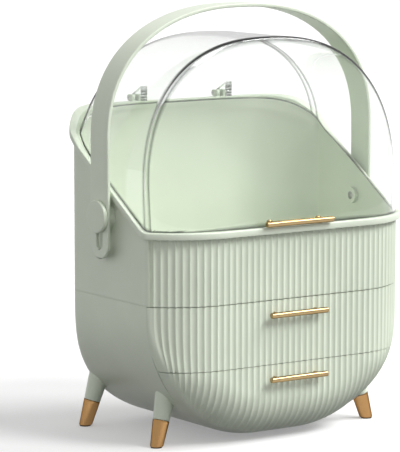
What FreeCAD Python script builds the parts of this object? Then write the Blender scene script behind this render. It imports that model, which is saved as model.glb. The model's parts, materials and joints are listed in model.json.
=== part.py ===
import FreeCAD, Part
import math
import os

os.makedirs("parts", exist_ok=True)
V = FreeCAD.Vector

# A free-standing box for cosmetics: two drawers under an open compartment with a clear
# lid, a carry handle that lifts and swings, and four splayed legs.
# Millimetres. X to the right, the front faces -Y, Z up from the floor.

# Body outline seen from above: flat sides, and a front and back that bow outwards.
half_width = 150.0
half_depth = 98.0
side_half = 64.0          # half length of each flat side, up to the crease
corner_radius = 83.3      # where the bow turns towards the crease
# Body outline seen from the front: straight sides over a round belly.
belly_bottom = 5.0
belly_flat = 24.0         # half width of the flat strip underneath
belly_radius = half_width - belly_flat
front_edge = 42.0         # rounding between the belly and the front
back_edge = 22.0          # rounding between the belly and the back
crease_edge = 7.0         # rounding of the upright creases
least_edge = 1.0
body_wall = 2.6

# Levels.
lower_seam = 78.0
upper_seam = 141.0
seam_gap = 0.6
rim_front = 212.0
rim_back = 320.5
rim_bend_y = -62.0        # where the rim starts to climb
rim_knee_y = 50.0
rim_knee_z = 284.0
rim_crest_y = 87.0        # where the rim is level again
rim_bend_radius = 25.0
rim_knee_radius = 60.0
rim_crest_radius = 34.0

# Rim flange and compartment floor.
flange_out = 4.5
flange_height = 6.5
floor_thickness = 3.0

# Fluting of the front.
flute_count = 46
flute_depth = 1.3
flute_radius = 4.4
flute_band = 9.0          # smooth band left above the belly edge

# Drawers.
skin_wall = 3.4
skin_gap = 0.4            # drawer skin to the tray that it is screwed to
front_gap = 0.5           # back of the drawer skin to the front edge of the housing
tray_wall = 2.0
lower_tray_inset = 8.0
upper_tray_inset = 14.0
lower_tray_drop = 4.5     # tray rim below the seam above it
upper_tray_drop = 3.4
lower_tray_top = lower_seam - lower_tray_drop
upper_tray_top = upper_seam - upper_tray_drop
slide_gap = 0.3
shelf_thickness = 2.5
shelf_drop = 1.3          # top of the shelf above the lower seam
shelf_gap = 0.3
ledge_width = 3.4
ledge_height = 2.6
stop_depth = 3.0
stop_height = 2.4
stop_half = 40.0
lug_half = 15.0
lug_height = 2.4
rail_height = 3.0
rail_level = 112.0
rail_half = 50.0
glide_inset = 7.0         # centre of a glide inside the flat strip
glide_x = belly_flat - glide_inset
glide_width = 8.0
glide_half = 50.0
boss_radius = 4.0
boss_height = 20.0
boss_y = 46.0
screw_radius = 1.5
screw_head_radius = 3.2
screw_head = 1.8
fit_gap = 0.15

# Pull bars of the drawers and the lid.
bar_radius = 2.75
bar_standoff = 7.2
drawer_bar_length = 67.0
lid_bar_length = 79.0
bar_drop = 13.2           # below the top of each drawer
post_radius = 2.0
drawer_post_inset = 9.5   # centre of a post from the end of its bar
lid_post_inset = 10.5
drawer_post_x = drawer_bar_length / 2 - drawer_post_inset
lid_post_x = lid_bar_length / 2 - lid_post_inset
lid_bar_lift = 3.6        # above the front rim
lean_slack = 0.4          # the lid leans away behind its screw heads

# Clear lid: an arched roof between two bowed ends.
lid_wall = 2.6
lid_half = half_width
lid_spring = 245.0        # level where the straight sides turn into the arch
lid_top = 391.0
lid_power = 2.4           # how square the arch is
lid_lean = 9.0            # how far each end leans in at the top
lid_seat_gap = 0.3
lid_back_drop = 35.5      # the back end starts to close in this far below the back rim
lid_back_base = rim_back - lid_back_drop
lid_soften = 12.0         # eases the ends where the arch drops to that level
lid_bow_power = 6         # how late each end's bow turns in to the sides
lid_end_rise = 4.0
arch_steps = 16

# Lid hinges.
hinge_x = 51.0
knuckle_radius = 3.2
knuckle_half = 4.0
ear_thickness = 3.5
ear_gap = 0.3
hinge_pin_radius = 1.5
hinge_pin_gap = 0.25
hinge_lift = 3.3          # hinge axis above the back rim
bracket_plate = 2.5
bracket_height = 15.0
arm_reach = 13.0          # length of the lid's hinge arm along the lid
arm_rise = 9.0

# Carry handle and its pivots.
handle_stand = 10.0       # outer face of the strap beyond the body's side
handle_over_lid = 30.0
handle_straight = 72.0    # from the pivots up to where the arch starts
handle_power = 2.3
strap_width = 30.0
strap_thickness = 3.5
pivot_y = 3.0
pivot_over_rim = 9.0      # above the front rim
pivot_z = rim_front + pivot_over_rim
handle_half = half_width + handle_stand
handle_top = lid_top + handle_over_lid
handle_spring = pivot_z + handle_straight
strap_tail = 26.0         # centre of the round strap end below the pivot
lift_travel = 26.0
pivot_shaft_radius = 4.0
pivot_collar_radius = 5.2
slot_gap = 0.3
spacer_radius = 13.0
button_radius = 16.0
button_thickness = 4.6
button_rounding = 1.8
nut_radius = 8.0
nut_thickness = 4.0
pivot_gap = 0.3

# Legs.
foot_inset_x = 22.2       # centre of a foot inside the body's side
foot_inset_y = 17.0       # behind the front creases, and in front of the back
foot_x = half_width - foot_inset_x
front_foot_y = foot_inset_y - side_half
back_foot_y = half_depth - foot_inset_y
foot_radius = 6.2
leg_taper = 0.078         # growth of the radius per millimetre of height
tip_height = 25.6
splay_x = 0.2227          # sideways lean per millimetre of height
splay_y = 0.05
pad_height = 1.2
pad_inset = 0.8
leg_bolt_radius = 2.0
leg_bolt_head = 4.0
leg_bolt_head_height = 3.0
leg_bolt_depth = 3.0      # recess of the bolt head above the pad
leg_top = 90.0            # the sleeves are cut off by the belly below this level
leg_bolt_end = 3.6        # of the bolt inside the housing, measured upwards

reach = 40.0              # how far cutting blocks run past the body
overrun = 1.0             # how far a hole's cutter runs past its wall


def box(x0, x1, y0, y1, z0, z1):
    return Part.makeBox(x1 - x0, y1 - y0, z1 - z0, V(x0, y0, z0))


def rod(radius, start, end):
    along = end - start
    return Part.makeCylinder(radius, along.Length, start, along)


def fuse(first, *rest):
    shape = first
    for other in rest:
        shape = shape.fuse(other)
    return shape.removeSplitter()


def cut(first, *rest):
    shape = first
    for other in rest:
        shape = shape.cut(other)
    return shape


def mirrored(shape):
    return shape.mirror(V(0, 0, 0), V(1, 0, 0))


def save(name, *shapes):
    shape = shapes[0] if len(shapes) == 1 else Part.makeCompound(list(shapes))
    shape.exportStep("parts/" + name + ".step")
    sound = all(s.isValid() and s.isClosed() for s in shape.Solids)
    print(name, len(shape.Solids), round(shape.Volume), "sound" if sound else "UNSOUND")


def rounded_path(points, radii):
    """Edges through the points, each inner corner turned by its own radius."""
    edges = []
    last = points[0]
    for corner, before, after, radius in zip(points[1:-1], points[:-2], points[2:], radii):
        back = (before - corner).normalize()
        ahead = (after - corner).normalize()
        half_turn = back.getAngle(ahead) / 2
        leave = corner + back * (radius / math.tan(half_turn))
        join = corner + ahead * (radius / math.tan(half_turn))
        middle = (back + ahead).normalize()
        bend = corner + middle * (radius / math.sin(half_turn) - radius)
        edges.append(Part.makeLine(last, leave))
        edges.append(Part.Arc(leave, bend, join).toShape())
        last = join
    edges.append(Part.makeLine(last, points[-1]))
    return edges


def prism(edges, direction):
    return Part.Face(Part.Wire(edges)).extrude(direction)


def corner_centre():
    """Centre of the front right corner arc, seen from above."""
    drop = half_depth - side_half
    run = math.sqrt(corner_radius ** 2 - (corner_radius - drop) ** 2)
    return V(half_width - run, corner_radius - half_depth, 0)


def plan_prism(grow):
    """The bowed front and back with their corner arcs, seen from above, moved out by grow.

    The arcs run on past the flat sides, which the belly outline cuts off at a crease."""
    wide = corner_centre().x + corner_radius + grow
    deep = half_depth + grow
    corners = [V(0, -deep, 0), V(wide, -deep, 0), V(wide, deep, 0),
               V(-wide, deep, 0), V(-wide, -deep, 0), V(0, -deep, 0)]
    return prism(rounded_path(corners, [corner_radius + grow] * 4), V(0, 0, rim_back + reach))


def belly_prism(grow):
    """The outline seen from the front, moved out by grow, through the whole depth."""
    side = half_width + grow
    low = belly_bottom - grow
    high = rim_back + reach
    y = -half_depth - reach
    corners = [V(-side, y, high), V(-side, y, low), V(side, y, low), V(side, y, high)]
    edges = rounded_path(corners, [belly_radius + grow] * 2)
    edges.append(Part.makeLine(corners[-1], corners[0]))
    return prism(edges, V(0, 2 * (half_depth + reach), 0))


def edge_radii(edge, grow):
    """Rounding radii at an edge's two ends, or None where the edge stays as it is."""
    bounds = edge.BoundBox
    if bounds.YLength > side_half or bounds.ZMin > rim_back:
        return None
    crease = max(least_edge, crease_edge + grow)
    if bounds.XLength + bounds.YLength < least_edge / 10:
        return (crease, crease) if abs(bounds.XMin) > half_width + grow - least_edge else None
    bow = max(least_edge, (front_edge if bounds.YMax < 0 else back_edge) + grow)
    if bounds.YLength < least_edge:
        return bow, bow
    from_crease = bounds.YMax < 0 or bounds.XMax < 0   # where the kernel starts each chain
    return (crease, bow) if from_crease else (bow, crease)


def egg(grow):
    """The whole body outline as a solid, moved out by grow, its bowed edges rounded."""
    base = document.addObject("Part::Feature", "outline")
    base.Shape = plan_prism(grow).common(belly_prism(grow)).removeSplitter()
    rounded = document.addObject("Part::Fillet", "rounded")
    rounded.Base = base
    radii = [(index, edge_radii(edge, grow)) for index, edge in enumerate(base.Shape.Edges, 1)]
    rounded.Edges = [(index, *pair) for index, pair in radii if pair]
    document.recompute()
    return rounded.Shape.Solids[0]


def rim_prism(lift, above):
    """Everything above or below the rim line, lifted by a given amount."""
    far = half_depth + reach
    wide = half_width + reach
    level = rim_back + 3 * reach if above else 0
    line = [V(-wide, -far, rim_front), V(-wide, rim_bend_y, rim_front),
            V(-wide, rim_knee_y, rim_knee_z), V(-wide, rim_crest_y, rim_back),
            V(-wide, far, rim_back)]
    line = [point + V(0, 0, lift) for point in line]
    edges = rounded_path(line, [rim_bend_radius, rim_knee_radius, rim_crest_radius])
    corners = [line[-1], V(-wide, far, level), V(-wide, -far, level), line[0]]
    edges += [Part.makeLine(a, b) for a, b in zip(corners[:-1], corners[1:])]
    return prism(edges, V(2 * wide, 0, 0))


def flute_places():
    """Points along the bowed front, with the outward direction at each flute."""
    centre = corner_centre()
    turn = math.asin((half_width - centre.x) / corner_radius)
    length = 2 * (centre.x + corner_radius * turn)
    for index in range(flute_count):
        along = (index + 0.5) / flute_count * length - length / 2
        side = math.copysign(1, along)
        angle = max(0, abs(along) - centre.x) / corner_radius
        flat = min(abs(along), centre.x)
        out = V(side * math.sin(angle), -math.cos(angle), 0)
        yield V(side * flat, centre.y, 0) + out * corner_radius, out


def flute_foot(x):
    """Level where the flute at x runs out above the belly."""
    radius = belly_radius - flute_band
    run = max(0, abs(x) - (half_width - belly_radius))
    return belly_bottom + belly_radius - math.sqrt(max(0, radius ** 2 - run ** 2))


def flutes(z0, z1):
    """Cutters for the flutes between two levels."""
    cutters = []
    for place, out in flute_places():
        axis = place + out * (flute_radius - flute_depth)
        foot = max(z0, flute_foot(place.x))
        if foot < z1:
            cutters.append(Part.makeCylinder(flute_radius, z1 - foot, V(axis.x, axis.y, foot)))
    return Part.makeCompound(cutters)


def slab(z0, z1, y0=-half_depth - reach, y1=half_depth + reach):
    wide = half_width + reach
    return box(-wide, wide, y0, y1, z0, z1)


def screw(tip, head_end):
    """A pan-head screw from its tip to the underside of its head."""
    along = (head_end - tip).normalize()
    return fuse(rod(screw_radius, tip, head_end),
                rod(screw_head_radius, head_end, head_end + along * screw_head))


def leg_axis(sx, foot_y, height):
    """Point on a leg's axis at a given height."""
    lean = 1 if foot_y < 0 else -1
    return V(sx * (foot_x - splay_x * height), foot_y + lean * splay_y * height, height)


def leg_cone(sx, foot_y, low, high):
    """A slice of the tapered leg between two heights, square to its axis."""
    start = leg_axis(sx, foot_y, low)
    along = leg_axis(sx, foot_y, high) - start
    return Part.makeCone(foot_radius + leg_taper * low, foot_radius + leg_taper * high,
                         along.Length, start, along)


def leg_rod(radius, sx, foot_y, low, high):
    return rod(radius, leg_axis(sx, foot_y, low), leg_axis(sx, foot_y, high))


document = FreeCAD.newDocument("organiser")

legs = {"front_left": (-1, front_foot_y), "front_right": (1, front_foot_y),
        "back_left": (-1, back_foot_y), "back_right": (1, back_foot_y)}

outer = egg(0)
inner = egg(-body_wall)
skin_inner = egg(-skin_wall)
housing_front = -side_half
skin_back = housing_front - front_gap
shelf_top = lower_seam + shelf_drop
upper_tray_bottom = shelf_top + slide_gap
lower_tray_bottom = belly_bottom + lower_tray_inset
lower_tray_shift = lower_tray_inset - skin_wall - skin_gap
upper_tray_shift = upper_tray_inset - skin_wall - skin_gap
tray_front = -half_depth + skin_wall + skin_gap
stop_back = housing_front + slide_gap + stop_depth
boss_x = half_width - body_wall - boss_radius
lid_bar_z = rim_front + lid_bar_lift
hinge_y = half_depth + bar_standoff + bar_radius - knuckle_radius  # reaches as far as the bars
hinge_z = rim_back + hinge_lift
hinge_half = knuckle_half + ear_gap + ear_thickness
bracket_screw_levels = [rim_back - bracket_height * share for share in (0.25, 0.75)]
strap_inside = handle_half - strap_thickness - pivot_gap
button_start = handle_half + pivot_gap


# ---- Drawer housing, shelf and glides ----

def drawer_housing():
    shell = outer.cut(inner).common(slab(0, upper_seam, housing_front))
    ledge_top = shelf_top - shelf_thickness - slide_gap
    ledge = inner.cut(egg(-body_wall - ledge_width))
    ledge = ledge.common(slab(ledge_top - ledge_height, ledge_top, housing_front))
    shape = shell.fuse(ledge)
    rail_inside = half_width - upper_tray_inset + slide_gap
    for sx in (-1, 1):
        rail = box(rail_inside, half_width - body_wall / 2, -rail_half, rail_half,
                   rail_level, rail_level + rail_height).common(outer)
        shape = shape.fuse(rail if sx > 0 else mirrored(rail))
        for y in (-boss_y, boss_y):
            boss = box(boss_x - boss_radius, half_width - body_wall / 2, y - boss_radius,
                       y + boss_radius, upper_seam - boss_height, upper_seam)
            shape = shape.fuse(boss if sx > 0 else mirrored(boss))
            shape = shape.cut(rod(screw_radius + fit_gap, V(sx * boss_x, y, upper_seam),
                                  V(sx * boss_x, y, upper_seam - boss_height / 2)))
    for sx, foot_y in legs.values():
        shape = shape.cut(leg_rod(leg_bolt_radius + fit_gap, sx, foot_y, tip_height, leg_top))
    return shape.removeSplitter()


def drawer_shelf():
    plate = egg(-body_wall - shelf_gap)
    plate = plate.common(slab(shelf_top - shelf_thickness, shelf_top, housing_front + slide_gap))
    under = shelf_top - shelf_thickness
    stop = box(-stop_half, stop_half, housing_front + slide_gap, stop_back,
               under - stop_height, under)
    return fuse(plate, stop)


def glide(sx):
    low = belly_bottom + body_wall
    return box(sx * glide_x - glide_width / 2, sx * glide_x + glide_width / 2,
               -glide_half, glide_half, low, lower_tray_bottom - slide_gap)


# ---- Drawers ----

def tray(inset, shift, low, high):
    """An open tray that follows the body outline, moved forward against the drawer skin."""
    solid = egg(-inset).common(slab(low, high))
    hollow = egg(-inset - tray_wall).common(slab(low + tray_wall, high + reach))
    back = half_depth - inset
    lug = box(-lug_half, lug_half, back - tray_wall, back, high - tray_wall, high + lug_height)
    shape = fuse(solid.cut(hollow), lug)
    shape.translate(V(0, -shift, 0))
    return shape


def bar_holes(radius, y0, y1, z, post_x):
    """Cutters for the two holes behind a bar, a fit wider than what goes through them."""
    return [rod(radius + fit_gap, V(sx * post_x, y0, z), V(sx * post_x, y1, z)) for sx in (-1, 1)]


def drawer_skin(low, high, bar_z):
    shell = outer.cut(skin_inner).common(slab(low, high, -half_depth - reach, skin_back))
    shell = shell.cut(flutes(low - reach, high + reach))
    holes = bar_holes(post_radius, -half_depth - reach, tray_front, bar_z, drawer_post_x)
    return cut(shell, *holes)


def bar_posts(bar_z, post_x, inside):
    posts = []
    for sx in (-1, 1):
        seat = V(sx * post_x, inside, bar_z)
        stem = rod(post_radius, seat, V(sx * post_x, -half_depth - bar_standoff, bar_z))
        thread = rod(screw_radius, seat, seat - V(0, bar_standoff / 2, 0))
        posts.append(cut(stem, bar_rod(bar_z, half_width), thread))
    return posts


def bar_rod(bar_z, length):
    y = -half_depth - bar_standoff
    return rod(bar_radius, V(-length / 2, y, bar_z), V(length / 2, y, bar_z))


def bar_screws(bar_z, post_x, inside, wall):
    return [screw(V(sx * post_x, inside - bar_standoff / 2, bar_z),
                  V(sx * post_x, inside + wall, bar_z)) for sx in (-1, 1)]


def drawer(name, low, high, tray_low, tray_high, inset, shift):
    bar_z = high - bar_drop
    pan = tray(inset, shift, tray_low, tray_high)
    pan = cut(pan, *bar_holes(screw_radius, tray_front - tray_wall, tray_front + 2 * tray_wall,
                              bar_z, drawer_post_x))
    save(name + "_drawer_tray", pan)
    save(name + "_drawer_front", drawer_skin(low, high, bar_z))
    save(name + "_drawer_bar", bar_rod(bar_z, drawer_bar_length))
    save(name + "_drawer_bar_posts", *bar_posts(bar_z, drawer_post_x, tray_front))
    save(name + "_drawer_bar_screws", *bar_screws(bar_z, drawer_post_x, tray_front, tray_wall))


# ---- Top compartment ----

def top_tub():
    walls = outer.cut(inner).common(slab(upper_seam, rim_back + reach))
    floor = outer.common(slab(upper_seam, upper_seam + floor_thickness))
    body = fuse(walls, floor).cut(rim_prism(0, True))
    flange = egg(flange_out).cut(inner)
    flange = flange.cut(rim_prism(0, True)).common(rim_prism(-flange_height, True))
    shape = body.fuse(flange)
    stop = box(-stop_half, stop_half, housing_front + slide_gap, stop_back,
               upper_seam - stop_height, upper_seam + floor_thickness / 2)
    shape = shape.fuse(stop)
    shape = shape.cut(flutes(upper_seam - reach, rim_front - flange_height))
    shape = cut(shape, pivot_rod(pivot_shaft_radius + pivot_gap, -half_width - reach,
                                 half_width + reach))
    notch = hinge_half + fit_gap
    for sx in (-1, 1):
        shape = shape.cut(box(sx * hinge_x - notch, sx * hinge_x + notch, half_depth,
                              half_depth + reach, rim_front, rim_back + reach))
        shape = cut(shape, *bracket_holes(sx))
        for y in (-boss_y, boss_y):
            shape = shape.cut(rod(screw_radius + fit_gap, V(sx * boss_x, y, upper_seam - overrun),
                                  V(sx * boss_x, y, upper_seam + 2 * floor_thickness)))
    return shape.removeSplitter()


def tub_screws():
    depth = boss_height / 2 - overrun
    seat = upper_seam + floor_thickness
    return [screw(V(sx * boss_x, y, upper_seam - depth), V(sx * boss_x, y, seat))
            for sx in (-1, 1) for y in (-boss_y, boss_y)]


# ---- Clear lid ----

def crown_level(half, spring, top, power, x):
    """Height of a squarish arch at x."""
    return spring + (top - spring) * max(0, 1 - (abs(x) / half) ** power) ** (1 / power)


def arch(half, spring, top, power, steps):
    """Points of a squarish arch from its left springing to its right one."""
    points = []
    for index in range(steps + 1):
        angle = math.pi * (1 - index / steps)
        c, s = math.cos(angle), math.sin(angle)
        x = half * math.copysign(abs(c) ** (2 / power), c)
        z = spring + (top - spring) * abs(s) ** (2 / power)
        points.append(V(x, 0, z))
    return points


def arch_prism(half, spring, top, power, low, y0, y1):
    """A roof of arch section over straight sides, between two depths."""
    points = arch(half, spring, top, power, arch_steps)
    curve = Part.BSplineCurve()
    curve.interpolate(Points=points, InitialTangent=V(0, 0, 1), FinalTangent=V(0, 0, -1))
    left, right = V(-half, 0, low), V(half, 0, low)
    edges = [Part.makeLine(left, points[0]), curve.toShape(),
             Part.makeLine(points[-1], right), Part.makeLine(right, left)]
    shape = prism(edges, V(0, y1 - y0, 0))
    shape.translate(V(0, y0, 0))
    return shape


def lid_end(base, inset, side):
    """Everything inside one bowed end of the lid; the bow dies out at the arch."""
    low, high = rim_front - reach, lid_top + lid_end_rise
    rows = []
    for i in range(2 * arch_steps + 1):
        x = (i / arch_steps - 1) * (lid_half + lid_wall)
        crown = crown_level(lid_half, lid_spring, lid_top, lid_power, x)
        bow = (half_depth - side_half) * (1 - (abs(x) / lid_half) ** lid_bow_power)
        row = []
        for j in range(arch_steps + 1):
            z = low + (high - low) * j / arch_steps
            climb = max(0, z - base) / math.hypot(crown - base, lid_soften)
            lean = lid_lean * (z - rim_front) / (lid_top - rim_front)
            fade = math.cos(math.pi / 2 * min(2, climb))
            row.append(V(x, side * (side_half - lean + bow * fade - inset), z))
        rows.append(row)
    surface = Part.BSplineSurface()
    surface.interpolate(rows)
    return surface.toShape().extrude(V(0, -side * 3 * half_depth, 0))


def lid_solid(inset):
    roof = arch_prism(lid_half - inset, lid_spring, lid_top - inset, lid_power,
                      rim_front - reach / 2, -half_depth - reach, half_depth + reach)
    return roof.common(lid_end(rim_front, inset, -1)).common(lid_end(lid_back_base, inset, 1))


def lid_shell():
    shell = lid_solid(0).cut(lid_solid(lid_wall)).common(rim_prism(lid_seat_gap, True))
    return cut(shell, *bar_holes(screw_radius, -half_depth - reach, 0, lid_bar_z, lid_post_x))


# ---- Hinges ----

def hinge_rod(radius, x0, x1):
    return rod(radius, V(x0, hinge_y, hinge_z), V(x1, hinge_y, hinge_z))


def bracket_holes(sx):
    """Cutters for the two screw holes of a bracket, one above the other."""
    return [rod(screw_radius + fit_gap, V(sx * hinge_x, half_depth - 2 * body_wall, z),
                V(sx * hinge_x, half_depth + reach, z)) for z in bracket_screw_levels]


def lid_hinge(sx, lid_outer):
    """The lid's half of a hinge: a knuckle on a wedge-shaped arm bonded to the lid."""
    x0, x1 = sx * hinge_x - knuckle_half, sx * hinge_x + knuckle_half
    low = rim_back + hinge_lift - knuckle_radius + ear_gap
    front = hinge_y - knuckle_radius - arm_reach
    side = [V(x0, hinge_y, low), V(x0, hinge_y, hinge_z + knuckle_radius),
            V(x0, front, hinge_z + knuckle_radius + arm_rise), V(x0, front, low)]
    side.append(side[0])
    arm = Part.Face(Part.makePolygon(side)).extrude(V(2 * knuckle_half, 0, 0)).cut(lid_outer)
    arm = max(arm.Solids, key=lambda s: s.BoundBox.YMax)
    hole = hinge_rod(hinge_pin_radius + hinge_pin_gap, x0 - overrun, x1 + overrun)
    return fuse(arm, hinge_rod(knuckle_radius, x0, x1)).cut(hole)


def rim_hinge(sx):
    """The body's half of a hinge: a plate on the back wall with two ears."""
    inside = knuckle_half + ear_gap
    x = sx * hinge_x
    foot = rim_back - bracket_height
    shape = box(x - hinge_half, x + hinge_half, half_depth, half_depth + bracket_plate,
                foot, rim_back)
    for a in (x - hinge_half, x + inside):
        b = a + ear_thickness
        web = [V(a, half_depth, foot), V(a, hinge_y, hinge_z - knuckle_radius),
               V(a, hinge_y, hinge_z + knuckle_radius), V(a, half_depth, hinge_z + knuckle_radius)]
        web.append(web[0])
        shape = shape.fuse(Part.Face(Part.makePolygon(web)).extrude(V(b - a, 0, 0)))
        shape = shape.fuse(hinge_rod(knuckle_radius, a, b))
    return cut(shape, hinge_pin(sx), *bracket_holes(sx)).removeSplitter()


def hinge_pin(sx):
    return hinge_rod(hinge_pin_radius, sx * hinge_x - hinge_half, sx * hinge_x + hinge_half)


def rim_hinge_screws():
    return [screw(V(sx * hinge_x, half_depth - body_wall, z),
                  V(sx * hinge_x, half_depth + bracket_plate, z))
            for sx in (-1, 1) for z in bracket_screw_levels]


# ---- Carry handle ----

def pivot_rod(radius, x0, x1, z=pivot_z):
    """A bar across the box, on the handle's pivot line or at another height."""
    return rod(radius, V(x0, pivot_y, z), V(x1, pivot_y, z))


def carry_handle():
    tail_z = pivot_z - strap_tail
    low = tail_z - strap_width
    y0, y1 = pivot_y - strap_width / 2, pivot_y + strap_width / 2
    outside = arch_prism(handle_half, handle_spring, handle_top, handle_power, low, y0, y1)
    inside = arch_prism(handle_half - strap_thickness, handle_spring, handle_top - strap_thickness,
                        handle_power, low - overrun, y0 - overrun, y1 + overrun)
    wide = handle_half + reach
    keep = fuse(pivot_rod(strap_width / 2, -wide, wide, tail_z),
                box(-wide, wide, y0, y1, tail_z, handle_top + reach))
    slot_half = pivot_collar_radius + slot_gap
    bottom = pivot_z - lift_travel
    slot = fuse(box(-wide, wide, pivot_y - slot_half, pivot_y + slot_half, bottom, pivot_z),
                pivot_rod(slot_half, -wide, wide), pivot_rod(slot_half, -wide, wide, bottom))
    return outside.cut(inside).common(keep).cut(slot)


def pivot_pin():
    """Right pivot pin: a shaft through the wall and a collar in the handle slot."""
    start = half_width - body_wall - pivot_gap - nut_thickness
    return fuse(pivot_rod(pivot_shaft_radius, start, strap_inside),
                pivot_rod(pivot_collar_radius, strap_inside, button_start))


def pivot_button():
    """Right button: a round cap with a softened rim over the collar."""
    face = button_start + button_thickness
    disc = pivot_rod(button_radius, button_start, face)
    rim = [edge for edge in disc.Edges if edge.BoundBox.XMin > face - fit_gap]
    return disc.makeFillet(button_rounding, rim)


def pivot_spacer():
    """Right spacer between the wall and the strap."""
    ring = pivot_rod(spacer_radius, half_width, strap_inside)
    return ring.cut(pivot_rod(pivot_shaft_radius + pivot_gap, half_width - overrun,
                              strap_inside + overrun))


def pivot_nut():
    """Right nut on the shaft inside the compartment."""
    end = half_width - body_wall - pivot_gap
    disc = pivot_rod(nut_radius, end - nut_thickness, end)
    return disc.cut(pivot_rod(pivot_shaft_radius, end - nut_thickness - overrun, end + overrun))


# ---- Legs ----

def leg_sleeve(sx, foot_y):
    cone = leg_cone(sx, foot_y, tip_height, leg_top).cut(outer)
    cone = min(cone.Solids, key=lambda s: s.BoundBox.ZMin)
    hole = leg_rod(leg_bolt_radius + fit_gap, sx, foot_y, tip_height - overrun, leg_top)
    return cone.cut(hole)


def leg_tip(sx, foot_y):
    tip = leg_cone(sx, foot_y, -pad_height, tip_height)
    tip = tip.common(slab(pad_height, tip_height + reach))
    tip = tip.cut(leg_rod(leg_bolt_radius + fit_gap, sx, foot_y, -overrun, tip_height + overrun))
    recess = leg_rod(leg_bolt_head + fit_gap, sx, foot_y, -leg_bolt_head_height,
                     pad_height + leg_bolt_depth + leg_bolt_head_height)
    return tip.cut(recess)


def leg_bolt(sx, foot_y):
    seat = pad_height + leg_bolt_depth + leg_bolt_head_height
    within = Part.makeLine(leg_axis(sx, foot_y, seat), leg_axis(sx, foot_y, leg_top)).common(inner)
    top = within.BoundBox.ZMin + leg_bolt_end
    return fuse(leg_rod(leg_bolt_radius, sx, foot_y, seat, top),
                leg_rod(leg_bolt_head, sx, foot_y, pad_height + leg_bolt_depth, seat))


def foot_pad(sx, foot_y):
    return Part.makeCylinder(foot_radius - pad_inset, pad_height, leg_axis(sx, foot_y, 0))


save("drawer_housing", drawer_housing())
save("drawer_shelf", drawer_shelf())
save("lower_drawer_glides", glide(-1), glide(1))
drawer("lower", 0, lower_seam - seam_gap / 2, lower_tray_bottom, lower_tray_top,
       lower_tray_inset, lower_tray_shift)
drawer("upper", lower_seam + seam_gap / 2, upper_seam - seam_gap, upper_tray_bottom,
       upper_tray_top, upper_tray_inset, upper_tray_shift)

save("top_tub", top_tub())
save("tub_screws", *tub_screws())

save("lid_shell", lid_shell())
save("lid_bar", bar_rod(lid_bar_z, lid_bar_length))
save("lid_bar_posts", *bar_posts(lid_bar_z, lid_post_x, -half_depth))
save("lid_bar_screws", *bar_screws(lid_bar_z, lid_post_x, -half_depth, lid_wall + lean_slack))
lid_outer = lid_solid(0)
for side, sx in (("left", -1), ("right", 1)):
    save("lid_hinge_" + side, lid_hinge(sx, lid_outer))
    save("rim_hinge_" + side, rim_hinge(sx))
    save("hinge_pin_" + side, hinge_pin(sx))
save("rim_hinge_screws", *rim_hinge_screws())

save("carry_handle", carry_handle())
for side, flip in (("right", False), ("left", True)):
    for name, shape in (("pivot_pin_", pivot_pin()), ("pivot_button_", pivot_button()),
                        ("pivot_spacer_", pivot_spacer()), ("pivot_nut_", pivot_nut())):
        save(name + side, mirrored(shape) if flip else shape)

for place, (sx, foot_y) in legs.items():
    save("leg_sleeve_" + place, leg_sleeve(sx, foot_y))
    save("leg_tip_" + place, leg_tip(sx, foot_y))
    save("foot_pad_" + place, foot_pad(sx, foot_y))
save("leg_bolts", *[leg_bolt(sx, foot_y) for sx, foot_y in legs.values()])
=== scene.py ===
import json
import math

import bmesh
import bpy
import numpy as np
from mathutils import Matrix, Vector


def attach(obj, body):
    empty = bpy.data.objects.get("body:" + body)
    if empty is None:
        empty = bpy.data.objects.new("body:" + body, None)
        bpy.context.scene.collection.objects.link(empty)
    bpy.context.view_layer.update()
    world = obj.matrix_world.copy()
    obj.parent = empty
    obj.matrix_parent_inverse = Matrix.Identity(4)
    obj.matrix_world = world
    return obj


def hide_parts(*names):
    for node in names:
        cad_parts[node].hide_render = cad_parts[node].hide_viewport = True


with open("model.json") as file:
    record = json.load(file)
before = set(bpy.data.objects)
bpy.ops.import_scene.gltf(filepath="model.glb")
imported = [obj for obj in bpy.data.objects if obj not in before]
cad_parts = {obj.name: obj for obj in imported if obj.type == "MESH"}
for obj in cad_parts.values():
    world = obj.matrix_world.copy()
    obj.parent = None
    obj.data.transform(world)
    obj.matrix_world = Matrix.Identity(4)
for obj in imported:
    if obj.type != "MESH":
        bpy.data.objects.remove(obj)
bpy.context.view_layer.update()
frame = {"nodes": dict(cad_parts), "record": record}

cadNodes = frame["nodes"]
mm = 0.001
weldGap, sliver = 0.01 * mm, 0.001 * mm  # points this near are one; edges this short are dropped

# Organiser with two drawers, a clear lid and a carry handle. Shapes are worked out in
# millimetres and go into the meshes in metres: X right, the front faces -Y, Z up.

# sRGB hex to linear: c/12.92 below 0.04045, otherwise ((c + 0.055)/1.055) to the power 2.4.
def linearColour(code):
    srgb = np.array([int(code[i:i + 2], 16) for i in (1, 3, 5)]) / 255
    linear = np.where(srgb <= 0.04045, srgb / 12.92, ((srgb + 0.055) / 1.055) ** 2.4)
    return (*[float(v) for v in linear], 1.0)


# Quads of a grid stored row by row; a ring also joins the last column to the first.
def gridQuads(rows, columns, start=0, ring=False):
    r = np.arange(rows - 1)[:, None]
    c = np.arange(columns if ring else columns - 1)[None, :]
    after = (c + 1) % columns
    quads = np.stack([r * columns + c, r * columns + after,
                      (r + 1) * columns + after, (r + 1) * columns + c], axis=-1)
    return quads.reshape(-1, 4) + start


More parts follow.
